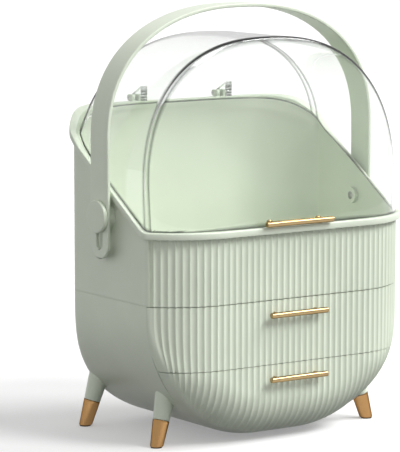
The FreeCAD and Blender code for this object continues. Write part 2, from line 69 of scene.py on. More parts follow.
# One mesh from grids of points (rows x columns x 3, in mm); equal points are welded.
def meshFromGrids(name, grids, ring=False, flip=False, sheet=False):
    points = np.concatenate([grid.reshape(-1, 3) for grid in grids]) * mm
    quads, start = [], 0
    for grid in grids:
        rows, columns = grid.shape[:2]
        quads.append(gridQuads(rows, columns, start, ring))
        start += rows * columns
    quads = np.concatenate(quads)
    if flip:
        quads = quads[:, ::-1]
    mesh = bpy.data.meshes.new(name)
    mesh.from_pydata(points.tolist(), [], quads.tolist())
    work = bmesh.new()
    work.from_mesh(mesh)
    bmesh.ops.remove_doubles(work, verts=work.verts, dist=weldGap)
    bmesh.ops.dissolve_degenerate(work, edges=work.edges, dist=sliver)
    if sheet:
        bmesh.ops.recalc_face_normals(work, faces=work.faces)
    work.to_mesh(mesh)
    work.free()
    return mesh


# The points of a mesh, in mm.
def meshPoints(mesh):
    points = np.empty(len(mesh.vertices) * 3, np.float32)
    mesh.vertices.foreach_get("co", points)
    return points.reshape(-1, 3) / mm


# Links a mesh as a piece. wall thickens it inwards and soften rounds its corners (both in mm);
# trim moves points that the wall pushed past a flat end. Edges sharper than sharp degrees stay
# crisp, and only corners over 50 degrees are rounded.
def addPiece(name, mesh, material, body, stands, wall=0, soften=0, segments=3, sharp=35,
             trim=None):
    piece = bpy.data.objects.new(name, mesh)
    bpy.context.scene.collection.objects.link(piece)
    if wall:
        thick = piece.modifiers.new("wall", "SOLIDIFY")
        thick.thickness, thick.offset = wall * mm, -1
    if soften:
        rounding = piece.modifiers.new("rounding", "BEVEL")
        rounding.width, rounding.segments = soften * mm, segments
        rounding.limit_method = "ANGLE"
        rounding.angle_limit = math.radians(50)
        rounding.use_clamp_overlap = False
    if piece.modifiers:
        graph = bpy.context.evaluated_depsgraph_get()
        piece.data = bpy.data.meshes.new_from_object(piece.evaluated_get(graph))
        piece.modifiers.clear()
        piece.data.name = name
    if trim:
        points = trim(meshPoints(piece.data)) * mm
        piece.data.vertices.foreach_set("co", points.astype(np.float32).ravel())
    piece.data.shade_smooth()
    piece.data.set_sharp_from_angle(angle=math.radians(sharp))
    piece.data.materials.clear()
    piece.data.materials.append(material)
    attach(piece, body)
    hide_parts(*stands)
    return piece


# 0 below 0, 1 above 1, and 3t^2 - 2t^3 between.
def ease(t):
    t = np.clip(t, 0, 1)
    return t * t * (3 - 2 * t)


# Adds a node; inputs maps socket names or numbers to values or to other nodes' outputs, and
# stops are the (place, hex colour) pairs of a colour ramp.
def addNode(tree, kind, inputs=None, stops=(), **settings):
    node = tree.nodes.new(kind)
    for key, value in settings.items():
        setattr(node, key, value)
    for key, value in (inputs or {}).items():
        if isinstance(value, bpy.types.NodeSocket):
            tree.links.new(value, node.inputs[key])
        else:
            node.inputs[key].default_value = value
    for number, (place, code) in enumerate(stops):
        if number == len(node.color_ramp.elements):
            node.color_ramp.elements.new(place)
        element = node.color_ramp.elements[number]
        element.position, element.color = place, linearColour(code)
    return node


# A material with an empty node tree, and that tree.
def newMaterial(name):
    material = bpy.data.materials.new(name)
    material.use_nodes = True
    tree = material.node_tree
    tree.nodes.clear()
    return material, tree


# Injection moulded ABS: satin, a fine spark-eroded grain and very faint flow clouding.
# grain is the size of the texture's pips in mm (real ones are 0.15 mm, too fine to show),
# cloud the size of the flow marks in mm.
def mouldedPlastic(name, dark, mid, light, roughness, grain=0.5, cloud=38.0):
    material, tree = newMaterial(name)
    place = addNode(tree, "ShaderNodeTexCoord").outputs["Object"]
    clouds = addNode(tree, "ShaderNodeTexNoise", {"Vector": place, "Scale": 1 / (cloud * mm),
                                                  "Detail": 3.0, "Roughness": 0.5})
    pips = addNode(tree, "ShaderNodeTexNoise", {"Vector": place, "Scale": 1 / (grain * mm),
                                                "Detail": 2.0, "Roughness": 0.6})
    colour = addNode(tree, "ShaderNodeValToRGB", {"Fac": clouds.outputs["Fac"]},
                     stops=((0.3, dark), (0.5, mid), (0.7, light)))
    gloss = addNode(tree, "ShaderNodeMapRange", {"Value": pips.outputs["Fac"],
                                                 "To Min": roughness - 0.05,
                                                 "To Max": roughness + 0.07})
    bump = addNode(tree, "ShaderNodeBump", {"Height": pips.outputs["Fac"], "Strength": 0.06,
                                            "Distance": 0.0001})
    shader = addNode(tree, "ShaderNodeBsdfPrincipled", {
        "Base Color": colour.outputs["Color"], "Roughness": gloss.outputs["Result"],
        "Normal": bump.outputs["Normal"],
        "IOR": 1.52, "Specular IOR Level": 0.45})
    addNode(tree, "ShaderNodeOutputMaterial", {"Surface": shader.outputs["BSDF"]})
    return material


# Metal finished by brushing along one axis: streaks line mm wide and 40 times as long. Real
# ones are finer than would show.
def satinMetal(name, dark, light, edge, roughness, along, line=0.25):
    material, tree = newMaterial(name)
    place = addNode(tree, "ShaderNodeTexCoord").outputs["Object"]
    stretch = [1 / (line * mm)] * 3
    stretch["XYZ".index(along)] /= 40
    mapped = addNode(tree, "ShaderNodeMapping", {"Vector": place, "Scale": stretch})
    streaks = addNode(tree, "ShaderNodeTexNoise", {"Vector": mapped.outputs["Vector"],
                                                   "Scale": 1.0, "Detail": 3.0})
    colour = addNode(tree, "ShaderNodeValToRGB", {"Fac": streaks.outputs["Fac"]},
                     stops=((0.3, dark), (0.7, light)))
    gloss = addNode(tree, "ShaderNodeMapRange", {"Value": streaks.outputs["Fac"],
                                                 "To Min": roughness - 0.03,
                                                 "To Max": roughness + 0.04})
    bump = addNode(tree, "ShaderNodeBump", {"Height": streaks.outputs["Fac"], "Strength": 0.02,
                                            "Distance": 0.00005})
    shader = addNode(tree, "ShaderNodeBsdfPrincipled", {
        "Base Color": colour.outputs["Color"], "Metallic": 1.0,
        "Roughness": gloss.outputs["Result"],
        # Specular Tint colours reflections towards grazing angles; a dark edge there is painted
        # shade on the rims
        "Specular Tint": linearColour(edge),
        "Normal": bump.outputs["Normal"]})
    addNode(tree, "ShaderNodeOutputMaterial", {"Surface": shader.outputs["BSDF"]})
    return material


# Cast acrylic: polished, almost colourless, refractive index 1.49, faint moulding waves. Its
# edges
# are painted grey: where the lid's edge attribute is 1 the colour turns to edge, painted shade
# for the dark lines that light caught along the wall shows at the edges.
def clearAcrylic(name, tint, edge, roughness):
    material, tree = newMaterial(name)
    # the grey on the edges is painted shade, read from a point attribute of the lid
    shade = addNode(tree, "ShaderNodeAttribute", attribute_name="paintedEdgeShade")
    colour = addNode(tree, "ShaderNodeValToRGB", {"Fac": shade.outputs["Fac"]},
                     stops=((0.0, tint), (1.0, edge)))
    place = addNode(tree, "ShaderNodeTexCoord").outputs["Object"]
    waves = addNode(tree, "ShaderNodeTexNoise", {"Vector": place, "Scale": 1 / (60 * mm),
                                                 "Detail": 1.0})
    gloss = addNode(tree, "ShaderNodeMapRange", {"Value": waves.outputs["Fac"], "To Min": 0.0,
                                                 "To Max": 2 * roughness})
    shader = addNode(tree, "ShaderNodeBsdfPrincipled", {
        "Base Color": colour.outputs["Color"], "Roughness": gloss.outputs["Result"], "IOR": 1.49,
        "Transmission Weight": 1.0})
    path = addNode(tree, "ShaderNodeLightPath")  # light from the lamps goes straight through
    through = addNode(tree, "ShaderNodeMath", {0: path.outputs["Is Shadow Ray"],
                                               1: path.outputs["Is Diffuse Ray"]},
                      operation="MAXIMUM")
    # lamp light through the painted grey edges is darkened by the same grey
    clear = addNode(tree, "ShaderNodeBsdfTransparent", {"Color": colour.outputs["Color"]})
    both = addNode(tree, "ShaderNodeMixShader", {0: through.outputs[0], 1: shader.outputs["BSDF"],
                                                 2: clear.outputs[0]})
    addNode(tree, "ShaderNodeOutputMaterial", {"Surface": both.outputs[0]})
    return material


sagePlastic = mouldedPlastic("sage moulded ABS", "#D3DBCA", "#D5DDCC", "#D7DFCE", 0.36)
trayPlastic = mouldedPlastic("sage matt polypropylene", "#D1D9C8", "#D3DBCA", "#D5DDCC", 0.5)
whitePlastic = mouldedPlastic("white acetal", "#DEDED8", "#E4E4DE", "#EAEAE4", 0.42)
# The dark edge colours of the gold and copper darken their rims as painted shade.
goldMetal = satinMetal("pale gold plated zinc", "#A38B64", "#B29A72", "#55422A", 0.24, "X")
copperMetal = satinMetal("copper gold plated zinc", "#AA8355", "#B58D5F", "#4A3018", 0.22, "Z")
plainSteel = satinMetal("zinc plated steel", "#A8A8A6", "#C0C0BE", "#FFFFFF", 0.34, "Z")
# 5E625F is the painted shade along the lid's edges
acrylic = clearAcrylic("clear cast acrylic", "#FDFEFD", "#5E625F", 0.004)
# The lid's ears are frosted, which blurs what is behind them.
frostedAcrylic = clearAcrylic("frosted acrylic", "#F6F8F6", "#5E625F", 0.14)
padRubber = mouldedPlastic("black foot rubber", "#1B1B1B", "#202020", "#262626", 0.7)
print("materials made")

body = dict(halfWidth=150.0, halfDepth=98.0, bow=83.3, sideHalf=64.0, crease=7.0,
            bottom=5.0, flat=24.0, frontEdge=42.0, backEdge=22.0, wall=2.6, shrinkFrom=0.70,
            lowerSeam=78.0, upperSeam=141.0, seamGap=0.6, skinWall=3.0, skinBack=64.15,
            flutes=46, fluteDepth=1.6, fluteRadius=4.0, fluteBand=4.5, fluteFade=4.0,
            hollowSteps=11)
bowX = body["halfWidth"] - math.sqrt(body["bow"] ** 2 - (body["sideHalf"] + body["bow"]
                                                         - body["halfDepth"]) ** 2)
bowY = body["halfDepth"] - body["bow"]
bellyRadius = body["halfWidth"] - body["flat"]
bellyZ = body["bottom"] + bellyRadius
bowLength = bowX + body["bow"] * math.asin((body["halfWidth"] - bowX) / body["bow"])


# Signed distance to the body, mm. The plan is a flat with a bow of one radius at each end and
# the belly a stadium bottom under straight sides. Where a and b are the depths inside the two,
# each plus the rounding radius r, and c the cosine between their normals, the rounded edge is
# sqrt((a^2 + b^2 - 2abc) / (1 - c^2)) - r. The radius shrinks from edge to crease up the sides.
def bodyGap(x, y, z, edge):
    across, along = np.maximum(np.abs(x) - bowX, 0), np.abs(y) - bowY
    plan = np.where(along > 0, np.hypot(across, along), across) - body["bow"]
    lean = np.arctan2(across, np.maximum(along, 1e-6))
    wide = np.maximum(np.abs(x) - body["flat"], 0)
    deep = np.maximum(bellyZ - z, 0)
    turn = np.arctan2(wide, np.maximum(deep, 1e-9))
    belly = np.hypot(wide, deep) - bellyRadius
    share = ease((turn - body["shrinkFrom"]) / (math.pi / 2 - body["shrinkFrom"]))
    radius = edge + (body["crease"] - edge) * share
    c = np.sin(lean) * np.sin(turn)
    a, b = plan + radius, belly + radius
    corner = np.sqrt(np.maximum(a * a + b * b - 2 * a * b * c, 0) / (1 - c * c))
    return np.where((a > c * b) & (b > c * a), corner, np.maximum(a, b)) - radius


# Halves the bracket between low, where wanted is true, and high, where it is false.
def bisect(wanted, low, high, halvings=40):
    low, high = np.array(low, float), np.array(high, float)
    for _ in range(halvings):
        middle = (low + high) / 2
        found = wanted(middle)
        low, high = np.where(found, middle, low), np.where(found, high, middle)
    return low


# Half depth of the body at (x, z): the furthest depth where the distance is below slack.
def bodyDepth(x, z, edge, slack=1e-5):
    x, z = np.broadcast_arrays(np.asarray(x, float), np.asarray(z, float))
    beyond = body["halfDepth"] + 0.01
    return bisect(lambda y: bodyGap(x, y, z, edge) < slack, np.zeros(x.shape),
                  np.full(x.shape, beyond))


# How far (x, z) is inside the belly's outline: its radius less the distance from its centre.
def bellyInset(x, z):
    across = np.maximum(np.abs(x) - body["flat"], 0)
    return bellyRadius - np.hypot(across, np.maximum(bellyZ - z, 0))


# x and outward angle at distance s along the bow from the middle: s on the flat, then
# bowX + r sin(turn) on the arc.
def bowPoint(s):
    turn = np.maximum(np.abs(s) - bowX, 0) / body["bow"]
    x = np.sign(s) * (np.minimum(np.abs(s), bowX) + body["bow"] * np.sin(turn))
    return x, np.sign(s) * turn


flutePitch = 2 * bowLength / body["flutes"]
fluteHalf = math.sqrt(body["fluteRadius"] ** 2 - (body["fluteRadius"] - body["fluteDepth"]) ** 2)


# Depth of the flutes: arcs of fluteRadius, one per pitch, with narrow ridges between.
def scallop(s):
    off = np.abs((s + bowLength) % flutePitch - flutePitch / 2)
    rise = np.sqrt(body["fluteRadius"] ** 2 - np.minimum(off, fluteHalf) ** 2)
    return rise - (body["fluteRadius"] - body["fluteDepth"])


# Distances along the bow with columns across each flute's hollow, both its edges included, and
# on the middle of the ridge: pitch * (k + 1/2) + offset. None is nearer the ends than near.
def fluteColumns(reach, near=0.1):
    middles = flutePitch * (np.arange(body["flutes"]) + 0.5) - bowLength
    hollow = fluteHalf * np.linspace(-1, 1, body["hollowSteps"])
    s = (middles[:, None] + np.concatenate([hollow, [flutePitch / 2]])).ravel()
    return np.concatenate([[-reach], s[np.abs(s) < reach - near], [reach]])


# Unit normals of a grid: the cross product of its two directions.
def gridNormals(grid):
    normal = np.cross(np.gradient(grid, axis=1), np.gradient(grid, axis=0))
    return normal / np.maximum(np.linalg.norm(normal, axis=2, keepdims=True), 1e-9)


front = dict(rows=56, gather=1.4, squeeze=12, footRise=0.05, nearMiddle=1e-3, sharp=50)


# Rows are levels, closest near the foot of the belly; columns follow the flutes. At each level
# the front ends at xEdge, where the surface turns back to skinBack, and a column at x0 on the
# bow is squeezed towards that edge: x^-q = x0^-q + xEdge^-q - xEnd^-q. The flutes press in
# along the normals and die out on an arc above the belly.
def drawerFront(name, low, high, rideOn, stands):
    edge, back, q = body["frontEdge"], body["skinBack"], front["squeeze"]
    deeper = lambda x, z: bodyDepth(x, z, edge) > back
    foot = bisect(lambda t: ~deeper(0.0, t), body["bottom"], bellyZ)
    start = max(low, float(foot) + front["footRise"])
    z = start + (high - start) * np.linspace(0, 1, front["rows"]) ** front["gather"]
    xEdge = bisect(lambda t: deeper(t, z), 0 * z, 0 * z + body["halfWidth"])[:, None]
    xEnd = float(bisect(lambda t: deeper(t, body["upperSeam"]), bowX, body["halfWidth"]))
    reach = bowX + body["bow"] * math.asin((xEnd - bowX) / body["bow"])
    s = fluteColumns(reach)
    x0 = np.maximum(np.abs(bowPoint(s)[0]), front["nearMiddle"]) / xEnd
    x = xEnd * (x0 ** -q + (xEnd / xEdge) ** q - 1) ** (-1 / q) * np.sign(s)
    z = z[:, None] + 0 * x
    grid = np.stack([x, -bodyDepth(x, z, edge), z], axis=-1)
    fade = ease((bellyInset(x, z) - body["fluteBand"]) / body["fluteFade"] + 0.5)
    grid = grid - gridNormals(grid) * (scallop(s) * fade)[..., None]
    return addPiece(name, meshFromGrids(name, [grid]), sagePlastic, rideOn, stands,
                    wall=body["skinWall"], sharp=front["sharp"],
                    trim=lambda p: np.minimum(p, (body["halfWidth"], -back, high)))


lowerTop = body["lowerSeam"] - body["seamGap"] / 2
upperFoot = body["lowerSeam"] + body["seamGap"] / 2
upperTop = body["upperSeam"] - body["seamGap"]
drawerFront("lower_drawer_front_skin", 0, lowerTop, "lower_drawer", ["lower_drawer_front"])
drawerFront("upper_drawer_front_skin", upperFoot, upperTop, "upper_drawer",
            ["upper_drawer_front"])
print("drawer fronts made")

housing = dict(outlineSteps=220, frontSteps=12, frontRun=16.0, frontGather=1.5, deepest=20.0,
               sideSteps=14, backSteps=48, backGather=1.8, soften=0.3)


# Points and outward normals of the belly's outline, from the left top edge under to the right:
# half the flat, a quarter circle and the straight side, mirrored.
def bellyOutline(count, top):
    quarter = math.pi / 2 * bellyRadius
    length = body["flat"] + quarter + top - bellyZ
    t = np.linspace(-length, length, count)
    side, along = np.sign(t), np.abs(t)
    turn = np.clip((along - body["flat"]) / bellyRadius, 0, math.pi / 2)
    x = np.minimum(along, body["flat"]) + bellyRadius * np.sin(turn)
    z = bellyZ - bellyRadius * np.cos(turn) + np.maximum(along - body["flat"] - quarter, 0)
    return side * x, z, side * np.sin(turn), -np.cos(turn)


# Three joined grids: the start of the rounding behind the drawers, the sides and belly as
# straight lines front to back, and the back as rays to the middle of the top edge.
def drawerHousing():
    x, z, nx, nz = bellyOutline(housing["outlineSteps"], body["upperSeam"])
    run = np.linspace(0, 1, housing["frontSteps"]) ** housing["frontGather"]
    y = (-body["sideHalf"] + housing["frontRun"] * run)[:, None] + 0 * x
    drop = bisect(lambda d: bodyGap(x - nx * d, y, z - nz * d, body["frontEdge"]) > 0,
                  0 * y, 0 * y + housing["deepest"])
    rounding = np.stack([x - nx * drop, y, z - nz * drop], axis=-1)
    backY = bodyDepth(x, z, body["backEdge"])
    step = np.linspace(0, 1, housing["sideSteps"])[:, None]
    sides = np.stack([x + 0 * step, y[-1] + (backY - y[-1]) * step, z + 0 * step], axis=-1)
    ray = np.linspace(0, 1, housing["backSteps"])[:, None] ** housing["backGather"]
    bx, bz = x * (1 - ray), z + (body["upperSeam"] - z) * ray
    back = np.stack([bx, bodyDepth(bx, bz, body["backEdge"]), bz], axis=-1)
    sides[0], back[0] = rounding[-1], sides[-1]
    mesh = meshFromGrids("housing", [rounding, sides, back], flip=True)
    return addPiece("drawer_housing_shell", mesh, sagePlastic, "box", ["drawer_housing"],
                    wall=body["wall"], soften=housing["soften"],
                    segments=2, sharp=40,
                    trim=lambda p: np.minimum(p, (body["halfWidth"], body["halfDepth"],
                                                  body["upperSeam"])))


drawerHousing()
print("drawer housing made")

tub = dict(rimFront=212.0, rimBack=320.5, flangeOut=4.5, flangeHeight=6.5, floor=3.0,
           corners=((-62.0, 212.0, 25.0), (50.0, 284.0, 60.0), (87.0, 320.5, 34.0)),
           notchX=51.0, notchHalf=7.95, seamSoft=0.4, lipSoft=0.6, rimSoft=1.2, insideSoft=1.0,
           floorSoft=0.8, underReach=6.0, lipRoot=0.5, fluteStop=0.5, wallStart=0.02, wallRows=10,
           arcSteps=12, creaseSteps=9, sideSteps=14)


# The rim seen from the side as (y, z): straight runs joined by tangent arcs. An arc's centre is
# radius / sin(half the corner's angle) from the corner, on the line that halves it. The runs go
# on beyond the body at both ends.
def rimProfile(beyond=160.0):
    ends = np.array([(-beyond, tub["rimFront"]), *[corner[:2] for corner in tub["corners"]],
                     (beyond, tub["rimBack"])])
    places = [ends[0]]
    for i, (_, _, radius) in enumerate(tub["corners"], 1):
        before, here, after = ends[i - 1], ends[i], ends[i + 1]
        u = (before - here) / np.linalg.norm(before - here)
        v = (after - here) / np.linalg.norm(after - here)
        half = math.acos(np.clip(u @ v, -1, 1)) / 2
        length = radius / math.tan(half)
        a, b = here + u * length, here + v * length
        middle = (u + v) / np.linalg.norm(u + v)
        centre = here + middle * radius / math.sin(half)
        share = np.linspace(0, 1, tub["arcSteps"])[:, None]
        spoke = (a - centre) * (1 - share) + (b - centre) * share
        spoke = spoke / np.linalg.norm(spoke, axis=1, keepdims=True) * radius
        places.extend(centre + spoke)
    places.append(ends[-1])
    return np.array(places)


rimPoints = rimProfile()


# Level of the rim at depth y.
def rimLevel(y):
    return np.interp(y, rimPoints[:, 0], rimPoints[:, 1])


# The plan as a closed loop: position, outward normal and distance along the front bow.
# Each quarter is half the flat, the bow's arc, the crease's small arc and half the side.
def planLoop():
    radius = body["bow"] - body["crease"]
    cx = body["halfWidth"] - body["crease"]
    cy = bowY + math.sqrt(radius ** 2 - (cx - bowX) ** 2)
    turn = math.atan2(cx - bowX, cy - bowY)
    bowEnd = bowX + body["bow"] * turn
    s = fluteColumns(bowEnd)
    s = s[s > -1e-6]
    bx, angle = bowPoint(s)
    by = np.where(s < bowX, body["halfDepth"], bowY + body["bow"] * np.cos(angle))
    swing = np.linspace(turn, math.pi / 2, tub["creaseSteps"])
    sideY = np.linspace(cy, 0, tub["sideSteps"] + 1)[1:]
    x = np.concatenate([bx, cx + body["crease"] * np.sin(swing), 0 * sideY + body["halfWidth"]])
    y = np.concatenate([by, cy + body["crease"] * np.cos(swing), sideY])
    out = np.concatenate([angle, swing, 0 * sideY + math.pi / 2])
    along = np.concatenate([s, 0 * swing + bowLength, 0 * sideY + bowLength])
    fore = np.stack([x, -y, np.sin(out), -np.cos(out), along], axis=1)
    aft = fore[::-1][1:] * (1, -1, 1, -1, 0) + (0, 0, 0, 0, bowLength)
    right = np.concatenate([fore, aft])
    left = right[::-1][1:-1] * (-1, 1, -1, 1, -1)
    return np.concatenate([right, left])


# The tub's section as (offset outwards, level, what the level counts from). "flat" levels are
# plain heights, "rim" ones count from the rim at that depth, and "outer" and "inner" ones are
# shares of the way up the outer and inner wall.
def tubSection(seam, floorTop):
    lip, height, wall = tub["flangeOut"], tub["flangeHeight"], body["wall"]
    seamSoft, lipSoft = tub["seamSoft"], tub["lipSoft"]
    rimSoft, inSoft = tub["rimSoft"], tub["insideSoft"]
    share = np.linspace(tub["wallStart"], 1, tub["wallRows"])
    nick = 0.3  # a rounding's middle point is this share of its radius from both faces
    return [(-tub["underReach"], seam, "flat"), (-seamSoft, seam, "flat"),
            (-nick * seamSoft, seam + nick * seamSoft, "flat"), (0.0, seam + seamSoft, "flat"),
            *[(0.0, k, "outer") for k in share],
            (tub["lipRoot"], -height, "rim"), (lip - lipSoft, -height, "rim"),
            (lip - nick * lipSoft, -height + nick * lipSoft, "rim"),
            (lip, -height + lipSoft, "rim"),
            (lip, -rimSoft, "rim"), (lip - rimSoft / 8, -rimSoft / 2, "rim"),
            (lip - rimSoft / 2, -rimSoft / 8, "rim"), (lip - rimSoft, 0.0, "rim"),
            (inSoft - wall, 0.0, "rim"), (0.4 * inSoft - wall, -0.15 * inSoft, "rim"),
            (0.1 * inSoft - wall, -0.5 * inSoft, "rim"), (-wall, -inSoft, "rim"),
            *[(-wall, 1 - k, "inner") for k in share],
            (-wall - 0.3, floorTop + tub["floorSoft"], "flat"),
            (-wall - 1.0, floorTop + tub["floorSoft"] / 4, "flat"),
            (-wall - 2.0, floorTop, "flat")]


# The section carried round the plan loop, closed below and inside by rings that shrink to the
# middle. The flutes run down the outer wall to the seam, and the flange is cut away at the
# hinges.
def topTub():
    loop = planLoop()
    seam = body["upperSeam"]
    floorTop = seam + tub["floor"]
    outerFoot, innerFoot = seam + tub["seamSoft"], floorTop + tub["floorSoft"]
    notch = (loop[:, 1] > 0) & (np.abs(np.abs(loop[:, 0]) - tub["notchX"]) < tub["notchHalf"])
    flutes = scallop(loop[:, 4]) * (np.abs(loop[:, 4]) < bowLength - tub["fluteStop"])
    rows = []
    for offset, level, kind in tubSection(seam, floorTop):
        x = loop[:, 0] + loop[:, 2] * offset
        y = loop[:, 1] + loop[:, 3] * offset
        if kind == "rim" and offset > 0:
            x, y = np.where(notch, loop[:, 0], x), np.where(notch, loop[:, 1], y)
        rim = rimLevel(y)
        z = {"flat": level + 0 * rim, "rim": rim + level,
             "outer": outerFoot + (rim - tub["flangeHeight"] - outerFoot) * level,
             "inner": innerFoot + (rim - tub["insideSoft"] - innerFoot) * level}[kind]
        if kind == "outer" or (kind == "flat" and offset >= -tub["seamSoft"]):
            x, y = x - loop[:, 2] * flutes, y - loop[:, 3] * flutes
        rows.append(np.stack([x, y, z], axis=-1))
    under, inside = rows[0], rows[-1]
    shrink = [np.concatenate([p[:, :2] * k, p[:, 2:]], axis=1)
              for p, k in ((under, 0.0), (under, 0.5), (inside, 0.5), (inside, 0.0))]
    grid = np.stack(shrink[:2] + rows + shrink[2:])
    return addPiece("top_tub_shell", meshFromGrids("tub", [grid], ring=True), sagePlastic, "box",
                    ["top_tub"], sharp=38)


topTub()
print("top tub made")

# The lid's turned down edges and a band along its foot are painted grey as shade, fading out over
# edgeFade mm.
lid = dict(half=150.0, spring=245.0, top=391.0, power=2.4, lean=9.0, wall=2.6, backBase=285.0,
           soften=12.0, seat=0.3, bowPower=6, rounding=2.8, paintedLipShade=1.5, edgeFade=0.5,
           footDrop=10.0, arcSteps=4001, roundSteps=7, archSteps=72, deepSteps=36, panelSteps=36)


# Superellipse arch at angle t: x = half |cos t|^(2/n) with the sign of cos t, and
# z = spring + (top - spring) |sin t|^(2/n).
def archPoints(shape, angle):
    c, s = np.cos(angle), np.sin(angle)
    rise = (shape["top"] - shape["spring"]) * np.abs(s) ** (2 / shape["power"])
    x = shape["half"] * np.sign(c) * np.abs(c) ** (2 / shape["power"])
    return x, shape["spring"] + rise


# Length along a line of points from its start.
def lengthAlong(x, z):
    return np.concatenate([[0], np.cumsum(np.hypot(np.diff(x), np.diff(z)))])


# Top of the arch over x: spring + (top - spring) (1 - (|x| / half)^n)^(1/n).
def crown(x):
    inside = np.maximum(1 - (np.abs(x) / lid["half"]) ** lid["power"], 0)
    return lid["spring"] + (lid["top"] - lid["spring"]) * inside ** (1 / lid["power"])


# y of an end panel: the body's half side less a lean that grows with the level, plus a bow
# that falls as a cosine from its base and dies out at the arch.
def lidEnd(x, z, side):
    base = tub["rimFront"] if side < 0 else lid["backBase"]
    across = np.minimum(np.abs(x) / lid["half"], 1)
    climb = np.maximum(z - base, 0) / np.hypot(crown(x) - base, lid["soften"])
    fade = np.cos(math.pi / 2 * np.minimum(2, climb))
    bow = (body["halfDepth"] - body["sideHalf"]) * (1 - across ** lid["bowPower"])
    lean = lid["lean"] * (z - tub["rimFront"]) / (lid["top"] - tub["rimFront"])
    return side * (body["sideHalf"] - lean + bow * fade)


# The arch from the left foot over the top to the right foot, with the length along it.
def archOutline():
    x, z = archPoints(lid, np.linspace(math.pi, 0, lid["arcSteps"]))
    foot = tub["rimFront"] - lid["footDrop"]
    x = np.concatenate([[-lid["half"]], x, [lid["half"]]])
    z = np.concatenate([[foot], z, [foot]])
    return x, z, lengthAlong(x, z)


# Painted shade on the lid: 1 along both sides of the turned down edges and on the lower edge, 0
# elsewhere. Depth under the arch is (1 - f) / |f'|, where f = (x / a)^n + (z / b)^n, or half -
# |x| below the spring.
def paintedEdgeShade(p):
    x, y, z = np.abs(p[:, 0]), p[:, 1], p[:, 2]
    a, b, n = lid["half"], lid["top"] - lid["spring"], lid["power"]
    u, v = x / a, np.maximum(z - lid["spring"], 0) / b
    slope = n * np.hypot(u ** (n - 1) / a, v ** (n - 1) / b)
    under = (1 - u ** n - v ** n) / np.maximum(slope, 1e-4)
    behind = np.where(y > 0, lidEnd(x, z, 1) - y, y - lidEnd(x, z, -1))
    corner = ease((lid["rounding"] + lid["edgeFade"] - np.maximum(under, behind))
                  / lid["edgeFade"]) * ease(np.abs(under - behind) / lid["rounding"])
    foot = ease((lid["paintedLipShade"] - (z - rimLevel(y) - lid["seat"])) / lid["edgeFade"])
    return np.maximum(corner, foot)


# The roof is lines between the two ends' curves. Each end turns down through a quarter circle:
# at angle t it is rounding (1 - cos t) below the arch and rounding (1 - sin t) short of the
# panel. The panels are columns from the rim to the turned down edge.
def clearLid(settling=12, panelSettling=20):
    ax, az, run = archOutline()
    whole = run[-1]
    out, up = -np.gradient(az, run), np.gradient(ax, run)
    leftRun, leftLevel = run[:len(run) // 2], az[:len(run) // 2]
    v = np.linspace(-1, 1, 2 * lid["archSteps"] + 1)[:, None]
    w = np.linspace(0, 1, lid["deepSteps"])
    t = np.linspace(0, math.pi / 2, lid["roundSteps"])[1:]
    below, short = lid["rounding"] * (1 - np.cos(t)), lid["rounding"] * (1 - np.sin(t))
    share = np.concatenate([0 * t, w, 0 * t + 1])
    shift = np.concatenate([short[::-1], lid["rounding"] * (1 - 2 * w), -short])
    inset = np.concatenate([below[::-1], 0 * w, below])
    y = (2 * share - 1) * body["sideHalf"] + 0 * v
    start = 0 * y
    for _ in range(settling):  # the lower edge depends on the depth and the depth on the edge
        foot = rimLevel(y) + lid["seat"] + inset * np.interp(start, run, up)
        start = np.interp(foot, leftLevel, leftRun)
        place = whole / 2 + v * (whole / 2 - start)
        x = np.interp(place, run, ax) - inset * np.interp(place, run, out)
        z = np.interp(place, run, az) - inset * np.interp(place, run, up)
        fore, aft = lidEnd(x, z, -1), lidEnd(x, z, 1)
        y = fore + (aft - fore) * share + shift
    roof = np.stack([x, y, z], axis=-1)
    grids = [roof]
    k = np.linspace(0, 1, lid["panelSteps"])[:, None]
    for side, column in ((-1, 0), (1, -1)):
        px, pz = roof[:, column, 0], roof[:, column, 2]
        bx, bz = px[-1] * v[:, 0], pz
        for _ in range(panelSettling):
            bz = rimLevel(lidEnd(bx, bz, side)) + lid["seat"]
        ex, ez = bx + (px - bx) * k, bz + (pz - bz) * k
        grids.append(np.stack([ex, lidEnd(ex, ez, side), ez], axis=-1))

    # Keeps the wall between the sides, above the rim and under the top.
    def trim(p):
        return np.stack([np.clip(p[:, 0], -lid["half"], lid["half"]), p[:, 1],
                         np.clip(p[:, 2], rimLevel(p[:, 1]) + lid["seat"], lid["top"])], axis=1)

    piece = addPiece("clear_lid", meshFromGrids("lid", grids, sheet=True), acrylic, "lid",
                     ["lid_shell"], wall=lid["wall"], sharp=45, trim=trim)
    # the painted shade along the edges, as a point attribute that the acrylic reads
    shade = piece.data.attributes.new("paintedEdgeShade", "FLOAT", "POINT")
    shade.data.foreach_set("value", paintedEdgeShade(meshPoints(piece.data)).astype(np.float32))
    return piece


clearLid()
print("clear lid made")

handle = dict(half=160.0, spring=293.0, top=421.0, power=2.3, width=30.0, wall=3.5,
              pivotY=3.0, pivotZ=221.0, tail=26.0, travel=26.0, slotHalf=5.5, soften=0.9,
              endSteps=9, slotSteps=8, sideSteps=16, arcSteps=2001, archSteps=120, across=6)


